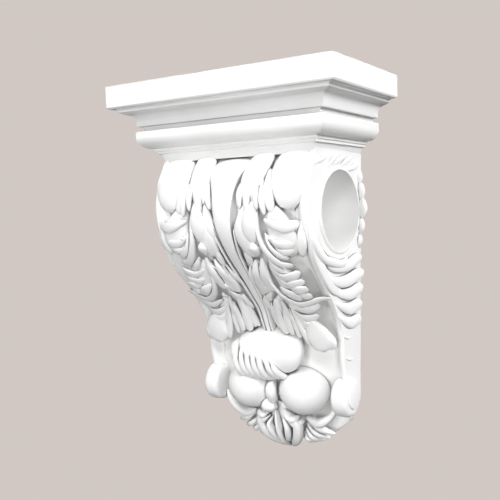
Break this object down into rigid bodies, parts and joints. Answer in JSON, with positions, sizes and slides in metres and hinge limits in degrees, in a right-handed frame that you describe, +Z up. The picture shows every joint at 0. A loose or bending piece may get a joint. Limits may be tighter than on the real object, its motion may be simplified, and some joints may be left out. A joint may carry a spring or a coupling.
{
  "type": "acanthus scroll corbel",
  "caption": "White cast wall corbel: a moulded cap on an S-shaped scroll with acanthus leaves, a round side eye and balls under a turned-over leaf.",
  "frame": {"origin": "on the flat back, on the centre line, 40 mm below the top, where the corbel is fixed to the wall", "axes": "+Y out of the back into the wall, the front faces -Y; +Z up; X across the width, the plane of symmetry is X = 0"},
  "size_m": [0.24, 0.135, 0.367],
  "materials": {
    "plaster": "matte white painted cast plaster"
  },
  "bodies": {
    "root": {"corbel": "plaster"}
  },
  "joints": []
}
